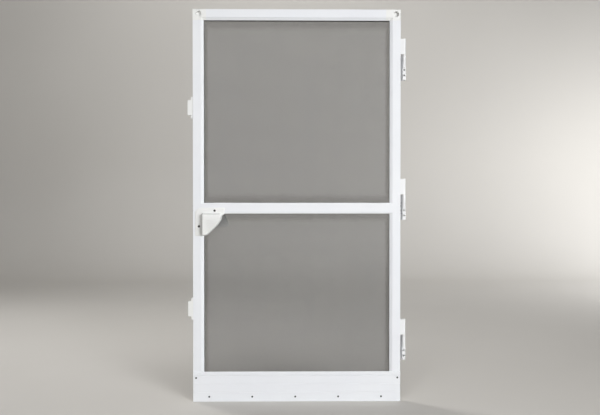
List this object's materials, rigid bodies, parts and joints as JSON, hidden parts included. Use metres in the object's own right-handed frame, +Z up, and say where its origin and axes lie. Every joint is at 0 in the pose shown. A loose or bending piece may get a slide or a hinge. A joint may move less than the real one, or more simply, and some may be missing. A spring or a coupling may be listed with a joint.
{
  "type": "hinged insect-screen door leaf",
  "caption": "White framed screen door leaf with mid rail, fluted kick plate, corner pulls, self-closing side hinges and magnetic edge catches.",
  "frame": {"origin": "middle of the leaf's bottom edge, halfway through the frame's depth, leaf closed", "axes": "+Z up, front of the leaf towards -Y, hinges on the +X edge"},
  "size_m": [1.052, 0.09, 1.89],
  "materials": {
    "powder_coat_white": "satin white powder coat on extruded aluminium",
    "hinge_white": "satin white powder coat on die-cast zinc",
    "moulded_white": "fine-textured moulded plastic",
    "screen_cloth": "vinyl-coated glass-fibre screen, open plain weave",
    "vinyl_grey": "ribbed vinyl spline",
    "screw_steel": "zinc-plated, dulled",
    "plain_steel": "bright ground steel",
    "spring_steel": "oiled spring wire",
    "magnet_ferrite": "sintered ferrite",
    "bearing_nylon": "natural nylon"
  },
  "bodies": {
    "jamb_side": {"hinge_bushes": "bearing_nylon", "hinge_spring_anchors": "plain_steel", "hinge_thrust_washers": "bearing_nylon", "lower_hinge_bracket": "hinge_white", "lower_hinge_spring": "spring_steel", "middle_hinge_bracket": "hinge_white", "middle_hinge_spring": "spring_steel", "upper_hinge_bracket": "hinge_white", "upper_hinge_spring": "spring_steel"},
    "leaf": {"bottom_left_corner_block": "moulded_white", "bottom_rail": "powder_coat_white", "bottom_right_corner_block": "moulded_white", "catch_screws": "screw_steel", "front_pull": "moulded_white", "hinge_caps": "moulded_white", "hinge_flange_screws": "screw_steel", "hinge_stile": "powder_coat_white", "kick_plate": "powder_coat_white", "kick_plate_screws": "screw_steel", "latch_stile": "powder_coat_white", "lower_catch_housing": "moulded_white", "lower_catch_magnet": "magnet_ferrite", "lower_catch_pole_plates": "plain_steel", "lower_hinge_knuckle": "hinge_white", "lower_hinge_pin": "plain_steel", "lower_screen": "screen_cloth", "lower_screen_spline": "vinyl_grey", "mid_rail": "powder_coat_white", "mid_rail_screws": "screw_steel", "middle_hinge_knuckle": "hinge_white", "middle_hinge_pin": "plain_steel", "pull_screws": "screw_steel", "rear_pull": "moulded_white", "top_left_corner_block": "moulded_white", "top_rail": "powder_coat_white", "top_right_corner_block": "moulded_white", "upper_catch_housing": "moulded_white", "upper_catch_magnet": "magnet_ferrite", "upper_catch_pole_plates": "plain_steel", "upper_hinge_knuckle": "hinge_white", "upper_hinge_pin": "plain_steel", "upper_screen": "screen_cloth", "upper_screen_spline": "vinyl_grey"}
  },
  "joints": [
    {"name": "door_swing", "type": "hinge", "parent": "jamb_side", "child": "leaf", "pos_m": [0.518, -0.005, 0], "axis": [0, 0, 1], "range_deg": [0, 110], "stiffness_Nm_per_rad": 1.8, "springref_deg": -51.57}
  ]
}
